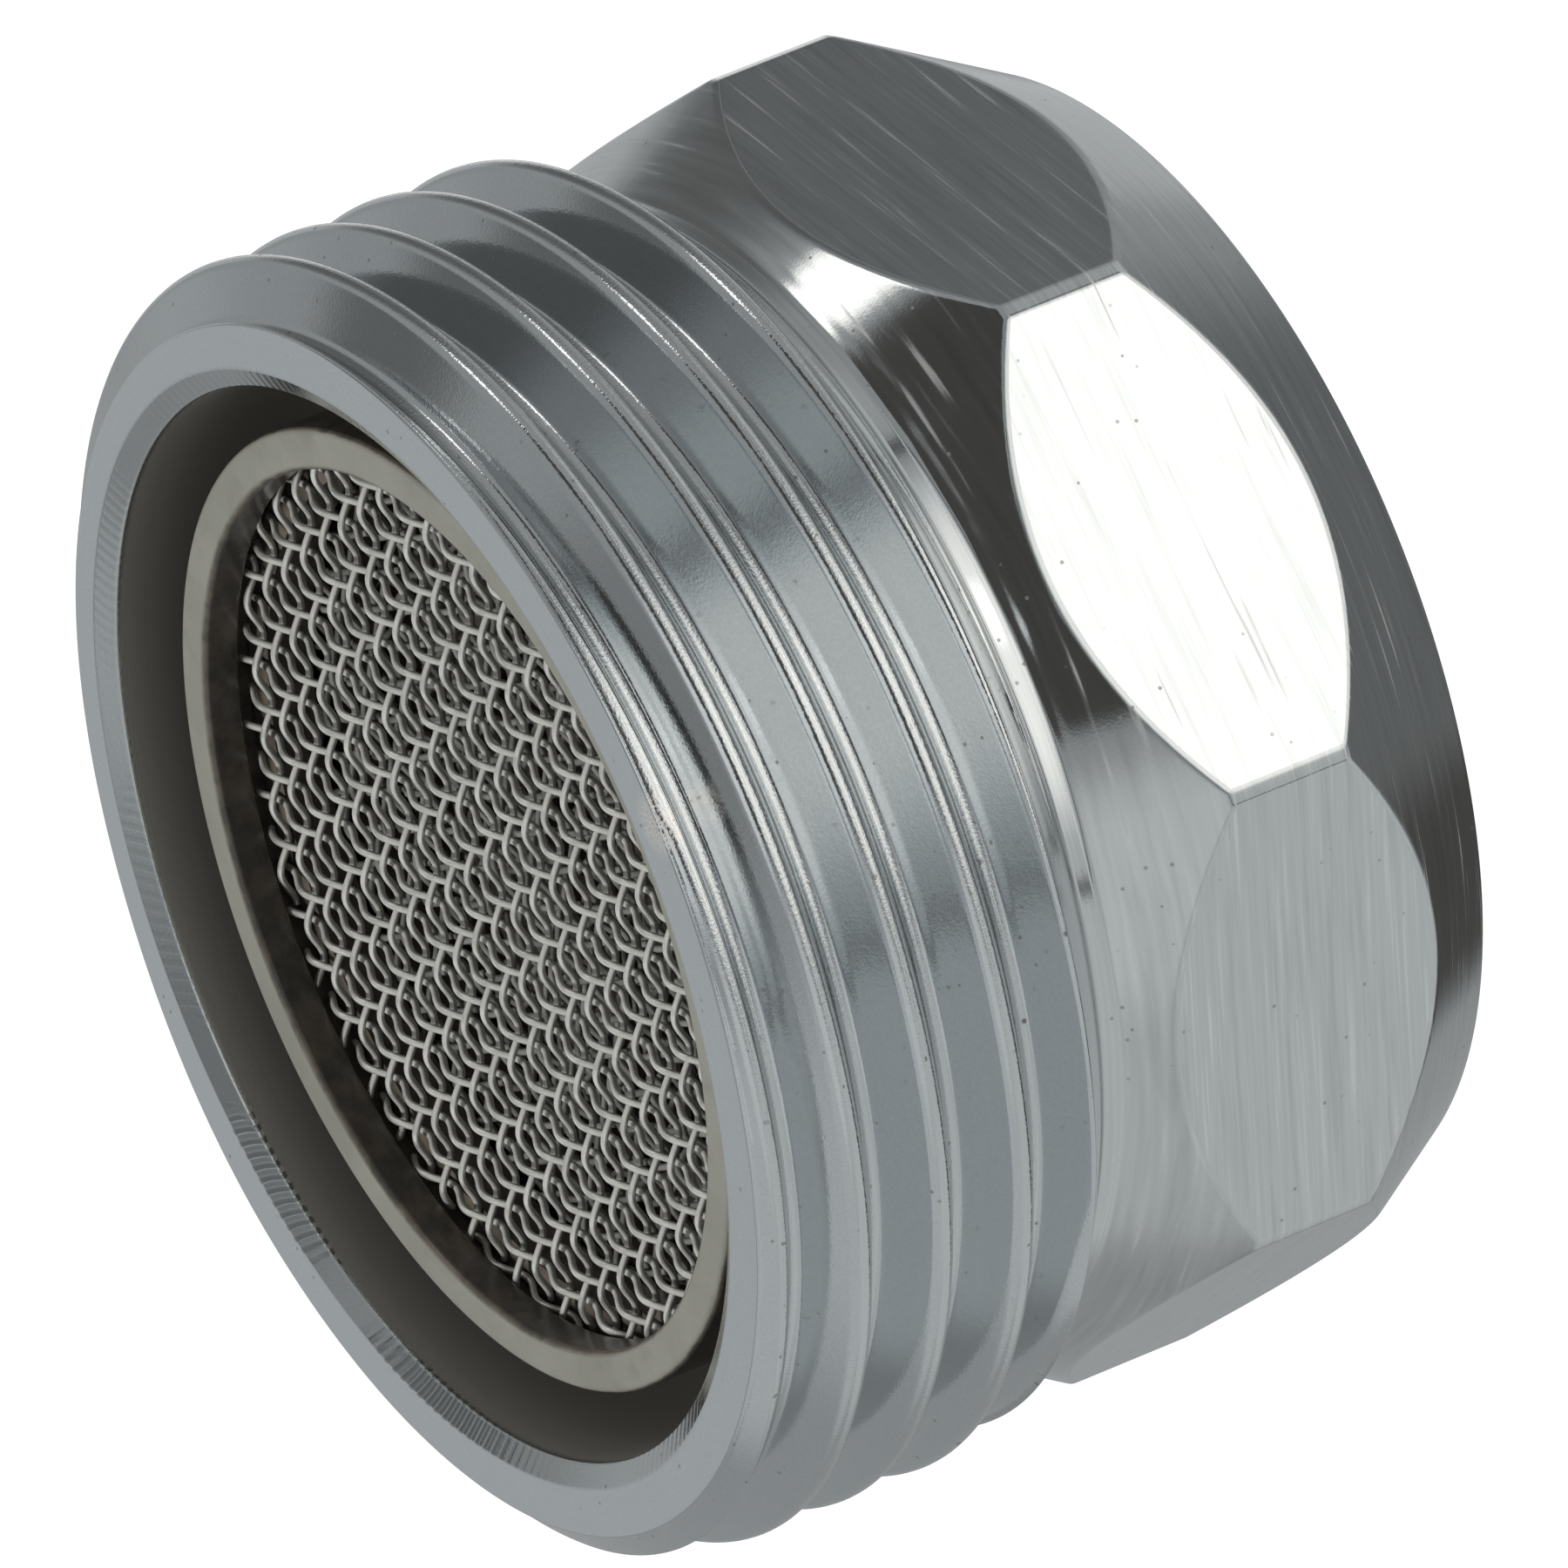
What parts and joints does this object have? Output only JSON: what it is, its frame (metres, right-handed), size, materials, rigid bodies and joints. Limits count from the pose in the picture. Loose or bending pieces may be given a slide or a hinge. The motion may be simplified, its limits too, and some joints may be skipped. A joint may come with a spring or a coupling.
{
  "type": "threaded adapter with aerator",
  "caption": "Chrome-plated tap adapter with a male pipe thread, spanner flats and a drop-in aerator behind its outlet.",
  "frame": {"origin": "centre of the inlet end face, which the part stands on", "axes": "+Z along the flow axis, towards the outlet; +X and +Y normal to two of the eight spanner flats"},
  "size_m": [0.0264, 0.0264, 0.017],
  "materials": {
    "chrome_plate": "turned and plated, with fine turning lines",
    "pale_plastic": "moulded, slightly soft sheen",
    "steel_wire": "drawn wire, woven",
    "black_rubber": "dull moulded rubber"
  },
  "bodies": {
    "root": {"adapter_body": "chrome_plate", "aerator_sleeve": "pale_plastic", "outlet_screen": "steel_wire", "outer_spacer_ring": "pale_plastic", "middle_screen": "steel_wire", "inner_spacer_ring": "pale_plastic", "inner_screen": "steel_wire", "support_tube": "pale_plastic", "jet_disc": "pale_plastic", "strainer_frame": "pale_plastic", "strainer_mesh": "steel_wire", "sealing_washer": "black_rubber"}
  },
  "joints": []
}
